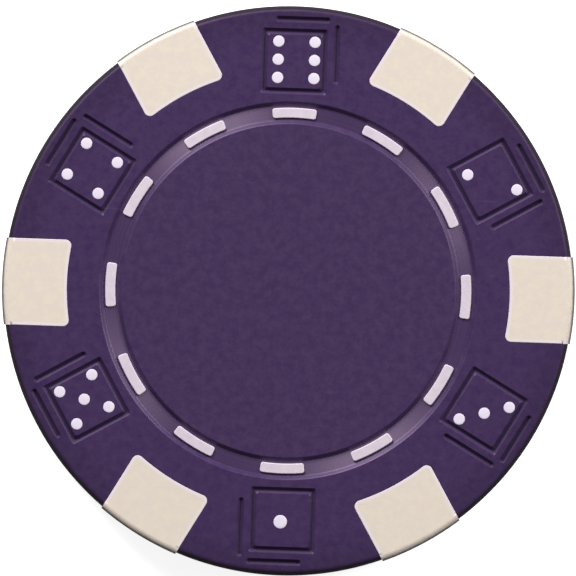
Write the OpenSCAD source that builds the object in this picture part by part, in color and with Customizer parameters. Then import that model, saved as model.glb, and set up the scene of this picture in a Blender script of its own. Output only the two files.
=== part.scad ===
// Casino chip with six edge inserts, a dashed ring and six die faces on each side.
// It lies flat: z = 0 is the face on the table, +Z is up, and edge insert 1 is at +X.

/* [Chip] */
// Diameter of the moulded body over its rim
chip_d = 38.9; // [38.9:0.1:43]
// Thickness, face to face
chip_t = 3.3; // [3:0.1:3.6]
// Radius rounded onto both edges of the rim
rim_round = 0.45; // [0.2:0.05:0.45]

/* [Weight slug] */
// Diameter of the steel disc sealed inside
slug_d = 26.4; // [25.4:0.2:27]
// Thickness of the steel disc
slug_t = 1.8; // [1.2:0.1:2]
// Chamfer on both edges of the steel disc
slug_chamfer = 0.15; // [0.05:0.05:0.3]

/* [Edge inserts] */
// Width of an edge insert, between its parallel sides
insert_w = 5.95; // [4:0.05:7]
// How far an edge insert reaches in from the body's rim
insert_reach = 4.35; // [3.5:0.05:5]
// How far an edge insert stands out from the body's rim
insert_proud = 0.12; // [0:0.02:0.2]
// Radius of an edge insert's two inner corners
insert_corner = 0.42; // [0.2:0.02:0.8]

/* [Dashed ring] */
// Distance from the rim to the middle of the channel and its dashes
ring_inset = 7.3; // [7.2:0.05:7.5]
// Width of the channel at the chip's face
channel_w = 1.5; // [1.3:0.02:1.6]
// Width of the channel's flat floor
floor_w = 0.98; // [0.8:0.02:1.1]
// Depth of the channel
channel_depth = 0.22; // [0.1:0.02:0.3]
// How far a dash's face lies below the chip's face
dash_sink = 0.08; // [0:0.02:0.1]
// Radial width of a dash
dash_w = 0.7; // [0.5:0.05:0.75]
// Angle that a dash spans, in degrees
dash_span = 14.2; // [8:0.2:20]
// Radius of a dash's corners
dash_corner = 0.18; // [0.1:0.02:0.22]

/* [Die faces] */
// Distance from the rim to the middle of a die's pips
die_inset = 3.68; // [3.6:0.01:3.9]
// Side of the die's front square, groove middle to groove middle
die_side = 4.06; // [3.8:0.02:4.2]
// Gap from the front square to the two lines that make a die look solid
die_depth = 0.84; // [0.7:0.02:0.9]
// Diameter of a pip
pip_d = 0.82; // [0.6:0.02:0.84]
// Diameter of the single pip of the one
ace_d = 0.97; // [0.8:0.01:1.4]
// Spacing of the pips, middle to middle
pip_pitch = 1.24; // [1.1:0.02:1.3]

/* [Grooves] */
// Width of every moulded groove at the chip's face
groove_w = 0.44; // [0.3:0.02:0.44]
// Width of a groove's flat bottom
groove_floor_w = 0.08; // [0.04:0.02:0.2]
// Depth of every moulded groove
groove_depth = 0.2; // [0.1:0.02:0.3]

/* [Hidden] */
INSERTS = 6;
DASHES = 12;
SIDES = ["back", "front"];
// The dice, counter-clockwise from the first gap between two edge inserts
DICE = ["two", "six", "four", "five", "one", "three"];
// Where each die's pips are, in pip spacings: [clockwise, outwards]
DIAGONAL = [[1, 1], [-1, -1]];
OTHER_DIAGONAL = [[-1, 1], [1, -1]];
CORNERS = concat(DIAGONAL, OTHER_DIAGONAL);
MIDDLE = [[0, 0]];
SIDE_MIDDLES = [[-1, 0], [1, 0]];
PIPS = [
    DIAGONAL,
    concat(CORNERS, SIDE_MIDDLES),
    CORNERS,
    concat(CORNERS, MIDDLE),
    MIDDLE,
    concat(OTHER_DIAGONAL, MIDDLE)
];

chip_r = chip_d / 2;
insert_step = 360 / INSERTS;
dash_step = 360 / DASHES;
insert_inner_r = chip_r - insert_reach;
ring_r = chip_r - ring_inset;
die_r = chip_r - die_inset;
// The moulded skin over each face of the steel disc, which the dashes go through
skin_t = (chip_t - slug_t) / 2;
// The front square stands a little off the middle of its pips
front_offset = [-0.14, -0.11];
// The two open lines beside and beyond the front square, measured from its middle
side_line_x = die_side / 2 + die_depth;
side_line_y = [-die_side / 2 + 0.77, die_side / 2 + 0.33];
top_line_y = die_side / 2 + die_depth;
top_line_x = [-die_side / 2 + 0.87, die_side / 2 + 0.16];
// How far a cutter runs past a face
overrun = 1;
$fn = 96;

function pip_name(die, i) = str("die_", DICE[die], "_pip_", i);
function pip_size(die) = len(PIPS[die]) == 1 ? ace_d : pip_d;
function polar(r, angle) = [r * cos(angle), r * sin(angle)];

// A disc with a rounded rim, before anything is cut from it
module disc_blank(r) {
    rotate_extrude() {
        square([r - rim_round, chip_t]);
        translate([0, rim_round]) square([r, chip_t - 2 * rim_round]);
        for (z = [rim_round, chip_t - rim_round])
            intersection() {
                translate([r - rim_round, z]) circle(rim_round);
                square([r, chip_t]);
            }
    }
}

// The steel disc, standing in the middle of the chip's thickness
module slug_shape() {
    rotate_extrude()
        polygon([
            [0, skin_t],
            [slug_d / 2 - slug_chamfer, skin_t],
            [slug_d / 2, skin_t + slug_chamfer],
            [slug_d / 2, skin_t + slug_t - slug_chamfer],
            [slug_d / 2 - slug_chamfer, skin_t + slug_t],
            [0, skin_t + slug_t]
        ]);
}

// Turns and moves to a die: its local x runs clockwise and its local y outwards
module at_die(die) {
    rotate(insert_step * (die + 0.5) - 90) translate([0, die_r]) children();
}

// Cuts the same shape into both faces: children start at z = 0 and go up
module on_both_faces() {
    children();
    translate([0, 0, chip_t]) mirror([0, 0, 1]) children();
}

// An edge insert's outline about +X: parallel sides, an inner edge that follows
// the chip's circle, and rounded inner corners. It runs past the rim.
module insert_outline() {
    corner_y = insert_w / 2 - insert_corner;
    corner_x = sqrt(pow(insert_inner_r + insert_corner, 2) - pow(corner_y, 2));
    far_x = chip_r + overrun;
    difference() {
        polygon([
            [0, 0],
            [corner_x, -corner_y],
            [corner_x, -insert_w / 2],
            [far_x, -insert_w / 2],
            [far_x, insert_w / 2],
            [corner_x, insert_w / 2],
            [corner_x, corner_y]
        ]);
        circle(insert_inner_r);
    }
    for (y = [-corner_y, corner_y]) translate([corner_x, y]) circle(insert_corner);
}

module insert_cutter(i) {
    rotate(insert_step * (i - 1))
        translate([0, 0, -overrun]) linear_extrude(chip_t + 2 * overrun) insert_outline();
}

// A dash's outline about +X: a piece of the ring with radial ends and rounded corners
module dash_outline() {
    inner = ring_r - dash_w / 2;
    outer = ring_r + dash_w / 2;
    corner_rs = [inner + dash_corner, outer - dash_corner];
    end = dash_span / 2;
    turns = [for (r = corner_rs) end - asin(dash_corner / r)];
    feet = [for (k = [0, 1]) corner_rs[k] * cos(end - turns[k])];
    half = [
        polar(inner - overrun, turns[0]),
        polar(corner_rs[0], turns[0]),
        polar(feet[0], end),
        polar(feet[1], end),
        polar(corner_rs[1], turns[1]),
        polar(outer + overrun, turns[1])
    ];
    intersection() {
        difference() {
            circle(outer);
            circle(inner);
        }
        polygon(concat(half, [for (k = [5:-1:0]) [half[k].x, -half[k].y]]));
    }
    for (k = [0, 1], side = [-1, 1])
        rotate(side * turns[k]) translate([corner_rs[k], 0]) circle(dash_corner);
}

// A dash on the back, from z = low up to the steel disc
module dash_blank(i, low) {
    rotate(dash_step * (i - 1))
        translate([0, 0, low]) linear_extrude(skin_t - low) dash_outline();
}

// Moves a shape made on the back to the side asked for
module on_side(side) {
    if (side == "back") children();
    else translate([0, 0, chip_t]) mirror([0, 0, 1]) children();
}

module pip_blank(die, i, past) {
    at_die(die)
        translate(concat(pip_pitch * PIPS[die][i - 1], -past))
            cylinder(d = pip_size(die), h = chip_t + 2 * past);
}

// The shallow channel that the dashes lie in: a flat floor between two slopes
module ring_channel() {
    rotate_extrude()
        translate([ring_r, 0])
            polygon([
                [-channel_w / 2, 0],
                [-channel_w / 2, -overrun],
                [channel_w / 2, -overrun],
                [channel_w / 2, 0],
                [floor_w / 2, channel_depth],
                [-floor_w / 2, channel_depth]
            ]);
}

// A bar along x, wide below the face and narrowing to a groove's flat bottom
module groove_bar(run) {
    start_w = groove_w + (groove_w - groove_floor_w) * overrun / groove_depth;
    rotate([90, 0, 90]) linear_extrude(run)
        polygon([
            [-start_w / 2, -overrun],
            [start_w / 2, -overrun],
            [groove_floor_w / 2, groove_depth],
            [-groove_floor_w / 2, groove_depth]
        ]);
}

// A straight groove, cut square half a groove's width past each end
module line_groove(from, to) {
    run = to - from;
    translate(from) rotate(atan2(run.y, run.x)) translate([-groove_w / 2, 0])
        groove_bar(norm(run) + groove_w);
}

// The groove round the front square: four bars, mitred where they meet
module square_groove() {
    far = die_side;
    for (turn = [0:90:270])
        rotate(turn) intersection() {
            translate([-far, die_side / 2]) groove_bar(2 * far);
            translate([0, 0, -overrun]) linear_extrude(overrun + groove_depth)
                polygon([[0, 0], [far, far], [-far, far]]);
        }
}

// A die drawn in grooves: its front square, and two edges of the faces behind it
module die_grooves(die) {
    at_die(die) translate(front_offset) {
        square_groove();
        line_groove([side_line_x, side_line_y[0]], [side_line_x, side_line_y[1]]);
        line_groove([top_line_x[0], top_line_y], [top_line_x[1], top_line_y]);
    }
}

// The moulded body that holds every other piece
module chip_body() {
    color([0.27, 0.2, 0.37]) difference() {
        disc_blank(chip_r);
        slug_shape();
        for (i = [1:INSERTS]) insert_cutter(i);
        on_both_faces() {
            ring_channel();
            for (i = [1:DASHES]) dash_blank(i, -overrun);
            for (die = [0:len(DICE) - 1]) die_grooves(die);
        }
        for (die = [0:len(DICE) - 1], i = [1:len(PIPS[die])]) pip_blank(die, i, overrun);
    }
}

module weight_slug() {
    color("silver") slug_shape();
}

module edge_insert(i) {
    color([0.91, 0.86, 0.8]) intersection() {
        disc_blank(chip_r + insert_proud);
        insert_cutter(i);
    }
}

module dash(side, i) {
    color([0.88, 0.84, 0.86]) on_side(side) dash_blank(i, dash_sink);
}

module pip(die, i) {
    color([0.92, 0.89, 0.94]) pip_blank(die, i, 0);
}

chip_body();
weight_slug();
for (i = [1:INSERTS])
    edge_insert(i);
for (side = SIDES, i = [1:DASHES])
    dash(side, i);
for (die = [0:len(DICE) - 1], i = [1:len(PIPS[die])])
    pip(die, i);
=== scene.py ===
"""A moulded casino chip: purple body, six cream edge inserts, a dashed ring and line-drawn dice.

Lengths are in millimetres until a mesh is made, and then in metres. Every piece is a set of
surfaces: grids of two parameters, profiles carried along a plan outline, and flat fills between
outlines. They are welded into one closed mesh.
"""

import logging
import math
from dataclasses import dataclass, field, replace
from enum import Enum

import bpy
import numpy as np
from mathutils import Matrix, Vector
from mathutils.geometry import delaunay_2d_cdt


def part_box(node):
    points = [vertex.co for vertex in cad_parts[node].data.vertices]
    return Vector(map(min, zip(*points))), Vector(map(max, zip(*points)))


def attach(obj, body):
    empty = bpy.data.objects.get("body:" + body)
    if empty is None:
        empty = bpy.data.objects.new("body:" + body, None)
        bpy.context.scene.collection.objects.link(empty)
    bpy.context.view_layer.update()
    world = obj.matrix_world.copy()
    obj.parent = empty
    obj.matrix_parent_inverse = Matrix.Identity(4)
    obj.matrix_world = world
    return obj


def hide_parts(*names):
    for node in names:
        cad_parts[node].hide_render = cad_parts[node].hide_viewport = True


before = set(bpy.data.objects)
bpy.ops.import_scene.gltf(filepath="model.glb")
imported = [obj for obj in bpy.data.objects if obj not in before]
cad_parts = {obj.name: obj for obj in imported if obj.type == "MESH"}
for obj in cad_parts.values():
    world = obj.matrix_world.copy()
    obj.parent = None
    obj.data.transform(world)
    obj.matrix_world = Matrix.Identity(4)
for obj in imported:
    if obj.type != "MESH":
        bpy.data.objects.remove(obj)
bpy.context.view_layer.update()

log = logging.getLogger("casino_chip")

MM = 0.001
WELD = 1e-4
FACE_MARGIN = 0.03
SHARP_ANGLE = math.radians(38)
LATTICE_CLEAR = 0.55

# Steps along curves. Surfaces that share a curve use the same steps, so that they weld.
RIM_STEPS = 44
RIM_TURNS = 8
CORNER_STEPS = 8
INNER_STEPS = 28
DASH_STEPS = 18
GAP_STEPS = 18
WALL_STEPS = 16
LINE_END_STEPS = 10
HOLE_STEPS = 32

Colour = tuple[float, float, float, float]
GLOSS_TINT: Colour = (1.0, 0.76, 1.0, 1.0)


class Side(Enum):
    """The chip's two faces."""

    BACK = "back"
    FRONT = "front"


class Die(Enum):
    """The dice, counter-clockwise from the first gap between two edge inserts, by pip count."""

    TWO = 2
    SIX = 6
    FOUR = 4
    FIVE = 5
    ONE = 1
    THREE = 3


# ---------------------------------------------------------------- plan outlines


@dataclass(frozen=True)
class Outline:
    """A plan outline, counter-clockwise, with an outward step at each point.

    Attributes:
        points: The outline's points, one row each.
        normals: How far each point moves for an offset of one. It is the unit normal, or at a
            mitred corner the longer step along the corner's diagonal.
    """

    points: np.ndarray
    normals: np.ndarray

    def at(self, offset: float) -> np.ndarray:
        """Return the outline moved outwards: point + offset * normal."""
        return self.points + offset * self.normals

    def placed(self, angle: float, shift: tuple[float, float] = (0.0, 0.0)) -> "Outline":
        """Shift the outline, then turn it about the chip's axis.

        Args:
            angle: Turn in radians, counter-clockwise.
            shift: Move before the turn.

        Returns:
            The placed outline.
        """
        turn = rotation(angle)
        return Outline((self.points + shift) @ turn, self.normals @ turn)


def rotation(angle: float) -> np.ndarray:
    """Return the matrix that turns rows of plan points counter-clockwise: points @ matrix."""
    c, s = math.cos(angle), math.sin(angle)
    return np.array([[c, s], [-s, c]])


def polar(radius: np.ndarray | float, angle: np.ndarray | float) -> np.ndarray:
    """Return plan points from radii and angles: (r cos a, r sin a)."""
    radius, angle = np.broadcast_arrays(np.asarray(radius, float), np.asarray(angle, float))
    return np.stack((radius * np.cos(angle), radius * np.sin(angle)), axis=-1)


def circle_outline(radius: float, count: int) -> Outline:
    """Return a circle about the origin: every normal is radial."""
    normals = polar(1.0, np.arange(count) * (2 * math.pi / count))
    return Outline(radius * normals, normals)


def square_outline(half: float, corner: float, turns: int) -> Outline:
    """Return a square whose corners keep one small radius at every offset.

    Each corner is an arc about its own centre, (half - corner) from both axes. A side is the
    straight edge from one arc to the next. An offset moves a whole arc along its diagonal.

    Args:
        half: Half the square's side.
        corner: Radius at the corners.
        turns: Steps round a corner.

    Returns:
        The outline.
    """
    quarter = np.linspace(0.0, math.pi / 2, turns + 1)
    starts = np.arange(4)[:, None] * (math.pi / 2)
    diagonals = polar(math.sqrt(2), starts + math.pi / 4)
    arcs = (half - corner) * diagonals + corner * polar(1.0, starts + quarter)
    return Outline(arcs.reshape(-1, 2), np.broadcast_to(diagonals, arcs.shape).reshape(-1, 2))


def line_outline(start: tuple[float, float], end: tuple[float, float]) -> Outline:
    """Return a straight line as an outline of no width: half a turn at its end, and at its start.

    Args:
        start: One end.
        end: The other end.

    Returns:
        The outline. Its offset by d is a slot of width 2 d with round ends.
    """
    heading = math.atan2(end[1] - start[1], end[0] - start[0])
    half_turn = np.linspace(-math.pi / 2, math.pi / 2, LINE_END_STEPS + 1)
    points = np.repeat(np.array([end, start], float), len(half_turn), axis=0)
    return Outline(points, polar(1.0, np.concatenate((half_turn, half_turn + math.pi)) + heading))


def outline_through(points: np.ndarray) -> Outline:
    """Return a closed outline through points, its normals square to the chord of the neighbours.

    Args:
        points: Plan points, counter-clockwise.

    Returns:
        The outline.
    """
    chord = np.roll(points, -1, axis=0) - np.roll(points, 1, axis=0)
    chord /= np.linalg.norm(chord, axis=1, keepdims=True)
    return Outline(points, np.column_stack((chord[:, 1], -chord[:, 0])))


# ---------------------------------------------------------------- surfaces


@dataclass
class Shell:
    """Surfaces collected for one closed mesh.

    Attributes:
        points: Blocks of points in millimetres.
        tones: Blocks of (recess, edge) values, one pair per point, each from 0 to 1.
        faces: Blocks of faces, three or four indices a row; a triangle repeats its last index.
        count: How many points there are so far.
    """

    points: list[np.ndarray] = field(default_factory=list)
    tones: list[np.ndarray] = field(default_factory=list)
    faces: list[np.ndarray] = field(default_factory=list)
    count: int = 0

    def add(self, points: np.ndarray, faces: np.ndarray, recess: np.ndarray | float = 0.0,
            edge: np.ndarray | float = 0.0) -> None:
        """Add a block of points and faces.

        Args:
            points: Rows of x, y, z.
            faces: Rows of four indices into points.
            recess: How deep in a groove each point is.
            edge: How exposed to wear each point is.
        """
        tone = np.empty((len(points), 2))
        tone[:, 0], tone[:, 1] = recess, edge
        self.points.append(points)
        self.tones.append(tone)
        self.faces.append(faces + self.count)
        self.count += len(points)

    def add_grid(self, grid: np.ndarray, closed: bool, recess: np.ndarray | float = 0.0,
                 edge: np.ndarray | float = 0.0) -> None:
        """Add a grid of points as quads.

        The faces look along (first direction) x (second direction).

        Args:
            grid: Points, indexed [along the outline, along the profile, xyz].
            closed: Whether the last column joins the first.
            recess: One value, or one per profile point.
            edge: One value, or one per profile point.
        """
        n, m = grid.shape[:2]
        column = np.arange(n if closed else n - 1)[:, None]
        row = np.arange(m - 1)[None, :]
        here, there = column * m + row, (column + 1) % n * m + row
        quads = np.stack((here, there, there + 1, here + 1), axis=-1).reshape(-1, 4)
        spread = [np.broadcast_to(np.asarray(t, float), (n, m)).ravel() for t in (recess, edge)]
        self.add(grid.reshape(-1, 3), quads, *spread)

    def add_fill(self, loops: list[np.ndarray], height: float, up: bool, spacing: float) -> None:
        """Add the flat region that the loops enclose: inside the first and outside the rest.

        Args:
            loops: Closed loops of plan points.
            height: Height of the region.
            up: Whether it looks up.
            spacing: Distance between its inner points.
        """
        plan, triangles = fill(loops, spacing)
        points = np.column_stack((plan, np.full(len(plan), height)))
        triangles = triangles if up else triangles[:, ::-1]
        self.add(points, np.column_stack((triangles, triangles[:, -1])))

    def add_mirrored(self, other: "Shell", thickness: float) -> None:
        """Add another shell's surfaces twice: as they are, and mirrored onto the back face.

        Args:
            other: The other shell.
            thickness: The chip's thickness.
        """
        for points, tones, faces in other.blocks():
            self.add(points, faces, *tones.T)
            self.add(*flipped(points, faces, thickness), *tones.T)

    def mirrored(self, thickness: float) -> "Shell":
        """Return a copy on the other face of the chip, its faces still outwards.

        Args:
            thickness: The chip's thickness.

        Returns:
            The copy.
        """
        back = Shell()
        for points, tones, faces in self.blocks():
            back.add(*flipped(points, faces, thickness), *tones.T)
        return back

    def blocks(self) -> list[tuple[np.ndarray, np.ndarray, np.ndarray]]:
        """Take the blocks apart again.

        Returns:
            Each block's points, tones and faces, the faces counted from its first point.
        """
        starts = np.cumsum([0] + [len(points) for points in self.points])
        return [
            (points, tones, faces - start)
            for points, tones, faces, start in zip(self.points, self.tones, self.faces, starts)
        ]

    def build(self, name: str) -> bpy.types.Object:
        """Weld the surfaces and make them an object.

        Points closer than the weld distance become one, and faces that lose their area go.

        Args:
            name: Name of the object and its mesh.

        Returns:
            The object, at the origin.
        """
        points, tones = np.vstack(self.points), np.vstack(self.tones)
        faces = np.vstack(self.faces)
        keys = np.round(points / WELD).astype(np.int64)
        _, first, back = np.unique(keys, axis=0, return_index=True, return_inverse=True)
        back = back.ravel()
        tone = np.zeros((len(first), 2))
        np.maximum.at(tone, back, tones)
        faces = back[faces]
        same = faces == np.roll(faces, -1, axis=1)
        size = 4 - same.sum(axis=1)
        quads = faces[size == 4]
        short = faces[size == 3]
        triangles = short[~same[size == 3]].reshape(-1, 3)
        quads = quads[(quads[:, 0] != quads[:, 2]) & (quads[:, 1] != quads[:, 3])]
        mesh = bpy.data.meshes.new(name)
        mesh.from_pydata(points[first] * MM, [], quads.tolist() + triangles.tolist(), shade_flat=False)
        for label, values in zip(("recess", "edge"), tone.T):
            layer = mesh.attributes.new(label, "FLOAT", "POINT")
            layer.data.foreach_set("value", np.ascontiguousarray(values))
        mesh.validate()
        mesh.set_sharp_from_angle(angle=SHARP_ANGLE)
        piece = bpy.data.objects.new(name, mesh)
        bpy.context.scene.collection.objects.link(piece)
        return piece


def flipped(points: np.ndarray, faces: np.ndarray, thickness: float) -> tuple[np.ndarray, np.ndarray]:
    """Return points and faces mirrored in the chip's mid plane: (x, y, T - z), faces reversed."""
    return points * (1, 1, -1) + (0, 0, thickness), faces[:, ::-1]


def encloses(points: np.ndarray, starts: np.ndarray, ends: np.ndarray) -> np.ndarray:
    """Return which points lie inside closed loops, by counting edges crossed on the way out.

    Args:
        points: Plan points to test.
        starts: First point of each edge of every loop.
        ends: Second point of each edge.

    Returns:
        True for a point with an odd number of crossings.
    """
    x, y = points[:, :1], points[:, 1:]
    spans = (starts[:, 1] > y) != (ends[:, 1] > y)
    rise = np.where(starts[:, 1] == ends[:, 1], 1.0, ends[:, 1] - starts[:, 1])
    reach = starts[:, 0] + (y - starts[:, 1]) * (ends[:, 0] - starts[:, 0]) / rise
    return ((spans & (x < reach)).sum(axis=1) % 2).astype(bool)


def clearance(points: np.ndarray, starts: np.ndarray, ends: np.ndarray) -> np.ndarray:
    """Return the distance from each point to the nearest edge.

    Args:
        points: Plan points.
        starts: First point of each edge.
        ends: Second point of each edge.

    Returns:
        The distances. The foot on an edge is start + clamp((p - start) . run / run^2) * run.
    """
    run = ends - starts
    away = points[:, None] - starts
    share = np.clip((away * run).sum(axis=-1) / (run ** 2).sum(axis=-1), 0.0, 1.0)
    return np.linalg.norm(away - share[..., None] * run, axis=-1).min(axis=1)


def fill(loops: list[np.ndarray], spacing: float) -> tuple[np.ndarray, np.ndarray]:
    """Triangulate the plan region between loops.

    A staggered lattice of points is scattered inside, clear of the loops, and the constrained
    Delaunay triangulation of both is kept where a triangle's middle lies inside.

    Args:
        loops: Closed loops of points. Loops inside the first are holes.
        spacing: Distance between lattice points.

    Returns:
        The points and the triangles, which look up.
    """
    edge_points = np.vstack(loops)
    starts = np.cumsum([0] + [len(loop) for loop in loops])
    edges = np.vstack([
        first + np.column_stack((np.arange(len(loop)), (np.arange(len(loop)) + 1) % len(loop)))
        for first, loop in zip(starts, loops)
    ])
    a, b = edge_points[edges[:, 0]], edge_points[edges[:, 1]]
    low, high = edge_points.min(axis=0), edge_points.max(axis=0)
    rows = np.arange(low[1], high[1], spacing * math.sqrt(0.75))
    columns = np.arange(low[0], high[0], spacing)
    lattice = np.stack(np.meshgrid(columns, rows), axis=-1)
    lattice[1::2, :, 0] += spacing / 2
    lattice = lattice.reshape(-1, 2)
    lattice = lattice[encloses(lattice, a, b)]
    lattice = lattice[clearance(lattice, a, b) > LATTICE_CLEAR * spacing]
    points = np.vstack((edge_points, lattice))
    _, _, corners, given, _, _ = delaunay_2d_cdt(
        points.tolist(), edges.tolist(), [], 0, WELD / 10, True
    )
    triangles = np.array([first for first, *_ in given])[np.array(corners)]
    return points, triangles[encloses(points[triangles].mean(axis=1), a, b)]


def sweep(outline: Outline, offsets: np.ndarray, heights: np.ndarray) -> np.ndarray:
    """Carry a profile along an outline: (point + offset * normal, height).

    Args:
        outline: The path in plan.
        offsets: Outward offset of each profile point.
        heights: Height of each profile point.

    Returns:
        A grid [outline, profile, xyz].
    """
    plan = outline.points[:, None] + offsets[None, :, None] * outline.normals[:, None]
    return np.dstack((plan, np.broadcast_to(heights, plan.shape[:2])))


def revolve(radii: np.ndarray, heights: np.ndarray, count: int) -> np.ndarray:
    """Turn a profile round the origin's axis: (r cos a, r sin a, z).

    Args:
        radii: Radius of each profile point.
        heights: Height of each profile point.
        count: Steps in a turn.

    Returns:
        A grid [turn, profile, xyz].
    """
    return sweep(circle_outline(0.0, count), radii, heights)


# ---------------------------------------------------------------- sizes from the frame


def node_points(name: str) -> np.ndarray:
    """Return a CAD node's points in millimetres.

    Args:
        name: The node.

    Returns:
        Rows of x, y, z.
    """
    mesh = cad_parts[name].data
    flat = np.empty(3 * len(mesh.vertices))
    mesh.vertices.foreach_get("co", flat)
    return flat.reshape(-1, 3) / MM


def node_span(name: str) -> tuple[np.ndarray, np.ndarray]:
    """Return a CAD node's lowest and highest corner in millimetres."""
    low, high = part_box(name)
    return np.array(low) / MM, np.array(high) / MM


@dataclass
class ChipSizes:
    """Every size that more than one piece needs.

    All are read from the frame but the last four, which repeat the part's own values.

    Attributes:
        thickness: From face to face.
        body_r: Radius of the purple body.
        insert_r: Radius over the edge inserts, which stand proud of the body.
        insert_half: Half the width of an edge insert.
        insert_inner: Radius of an edge insert's inner edge.
        dash_inner: Radius of a dash's inner edge.
        dash_outer: Radius of a dash's outer edge.
        dash_half: Half the angle that a dash spans.
        dash_low: How far a dash's face lies below the chip's face.
        slug_r: Radius of the steel disc.
        skin: Thickness of the plastic over the steel disc.
        inserts: How many edge inserts there are.
        dashes: How many dashes there are on a face.
        rim_round: Radius rounded onto the rim.
        insert_corner: Plan radius of an edge insert's inner corners.
        dash_corner: Plan radius of a dash's corners.
        slug_chamfer: Chamfer on the steel disc's edges.
    """

    thickness: float
    body_r: float
    insert_r: float
    insert_half: float
    insert_inner: float
    dash_inner: float
    dash_outer: float
    dash_half: float
    dash_low: float
    slug_r: float
    skin: float
    inserts: int
    dashes: int
    rim_round: float = 0.45
    insert_corner: float = 0.42
    dash_corner: float = 0.18
    slug_chamfer: float = 0.15

    @classmethod
    def from_frame(cls) -> "ChipSizes":
        """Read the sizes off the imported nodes.

        Returns:
            The sizes.
        """
        _, body_high = node_span("chip_body")
        _, insert_high = node_span("edge_insert_1")
        slug_low, slug_high = node_span("weight_slug")
        insert_reach = np.hypot(*node_points("edge_insert_1")[:, :2].T)
        dash = node_points("front_dash_1")
        dash_reach = np.hypot(*dash[:, :2].T)
        names = list(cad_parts)
        return cls(
            thickness=body_high[2],
            body_r=body_high[1],
            insert_r=insert_high[0],
            insert_half=insert_high[1],
            insert_inner=insert_reach.min(),
            dash_inner=dash_reach.min(),
            dash_outer=dash_reach.max(),
            dash_half=np.arctan2(dash[:, 1], dash[:, 0]).max(),
            dash_low=body_high[2] - dash[:, 2].max(),
            slug_r=slug_high[1],
            skin=slug_low[2],
            inserts=sum(name.startswith("edge_insert_") for name in names),
            dashes=sum(name.startswith("front_dash_") for name in names),
        )

    def insert_angle(self, index: int) -> float:
        """Return the direction of an edge insert; number 0 is at +X."""
        return 2 * math.pi * index / self.inserts

    def dash_angle(self, index: int) -> float:
        """Return the direction of a dash; number 0 is at +X."""
        return 2 * math.pi * index / self.dashes

    def rim_rows(self, radius: float) -> tuple[np.ndarray, np.ndarray]:
        """Return the radii and heights of a rounded rim's upper edge.

        A flat margin comes first, then a quarter turn: r = R - q + q sin a, z = T - q + q cos a.

        Args:
            radius: Outer radius, R. q is the rim's rounding and T the thickness.

        Returns:
            The radii and the heights, from the face outwards and down.
        """
        angle = np.linspace(0.0, math.pi / 2, RIM_TURNS + 1)
        radii = radius - self.rim_round + self.rim_round * np.sin(angle)
        heights = self.thickness - self.rim_round + self.rim_round * np.cos(angle)
        margin = radius - self.rim_round - FACE_MARGIN
        return np.append(margin, radii), np.append(self.thickness, heights)

    def insert_sides(self, radii: np.ndarray) -> tuple[np.ndarray, np.ndarray]:
        """Return the outline of an edge insert about +X, without its outer end.

        It runs in along the side at +y, round a corner, along the inner arc, round the other
        corner and out along the side at -y. A side's last points are where it crosses the
        circles of the given radii.

        Args:
            radii: Circles that a side's outer points lie on, from the face outwards.

        Returns:
            The points and their outward normals.
        """
        half, corner, inner = self.insert_half, self.insert_corner, self.insert_inner
        corner_y = half - corner
        corner_x = math.sqrt((inner + corner) ** 2 - corner_y ** 2)
        lean = math.atan2(corner_y, corner_x)
        ends = np.sqrt(radii ** 2 - half ** 2)
        side = np.column_stack((ends[::-1], np.full(len(ends), half)))
        side_normals = np.broadcast_to((0.0, 1.0), side.shape)
        turn = np.linspace(math.pi / 2, math.pi + lean, CORNER_STEPS + 1)
        corner_normals = polar(1.0, turn)
        corner_points = (corner_x, corner_y) + corner * corner_normals
        arc = np.linspace(lean, -lean, INNER_STEPS + 1)[1:-1]
        upper = np.vstack((side, corner_points))
        upper_normals = np.vstack((side_normals, corner_normals))
        flip = (1, -1)
        return (
            np.vstack((upper, polar(inner, arc), upper[::-1] * flip)),
            np.vstack((upper_normals, -polar(1.0, arc), upper_normals[::-1] * flip)),
        )

    def dash_end(self, radii: np.ndarray) -> np.ndarray:
        """Return the angle at which a dash about +X ends, at each radius.

        Between the corners it is the dash's half angle. Beside a corner it is where the circle
        of that radius crosses the corner's own circle, by the law of cosines.

        Args:
            radii: The radii.

        Returns:
            The angles.
        """
        corner = self.dash_corner
        end = np.full(len(radii), self.dash_half)
        for middle, near in ((self.dash_inner + corner, -1), (self.dash_outer - corner, 1)):
            touch = math.sqrt(middle ** 2 - corner ** 2)
            beside = near * (radii - touch) > 0
            r = radii[beside]
            cosine = (r ** 2 + middle ** 2 - corner ** 2) / (2 * r * middle)
            end[beside] = (
                self.dash_half - math.asin(corner / middle) + np.arccos(np.clip(cosine, -1, 1))
            )
        return end

    def dash_rows(self) -> np.ndarray:
        """Return the radii at which a dash's ends have points: evenly round each corner's turn.

        Returns:
            The radii, from the inner edge outwards.
        """
        rise = self.dash_corner * (1 - np.cos(np.linspace(0.0, math.pi / 2, CORNER_STEPS + 1)))
        return np.concatenate((self.dash_inner + rise, self.dash_outer - rise[::-1]))

    def dash_points(self, angle: float = 0.0) -> np.ndarray:
        """Return a dash's plan points: outer arc, one end inwards, inner arc, other end.

        Args:
            angle: Direction of the dash.

        Returns:
            The points, counter-clockwise.
        """
        rows = self.dash_rows()
        end = self.dash_end(rows)
        outer = np.linspace(-end[-1], end[-1], DASH_STEPS + 1)[1:-1]
        inner = np.linspace(end[0], -end[0], DASH_STEPS + 1)[1:-1]
        return np.vstack((
            polar(rows[-1], outer + angle),
            polar(rows, end + angle)[::-1],
            polar(rows[0], inner + angle),
            polar(rows, angle - end),
        ))


# ---------------------------------------------------------------- the body


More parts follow.
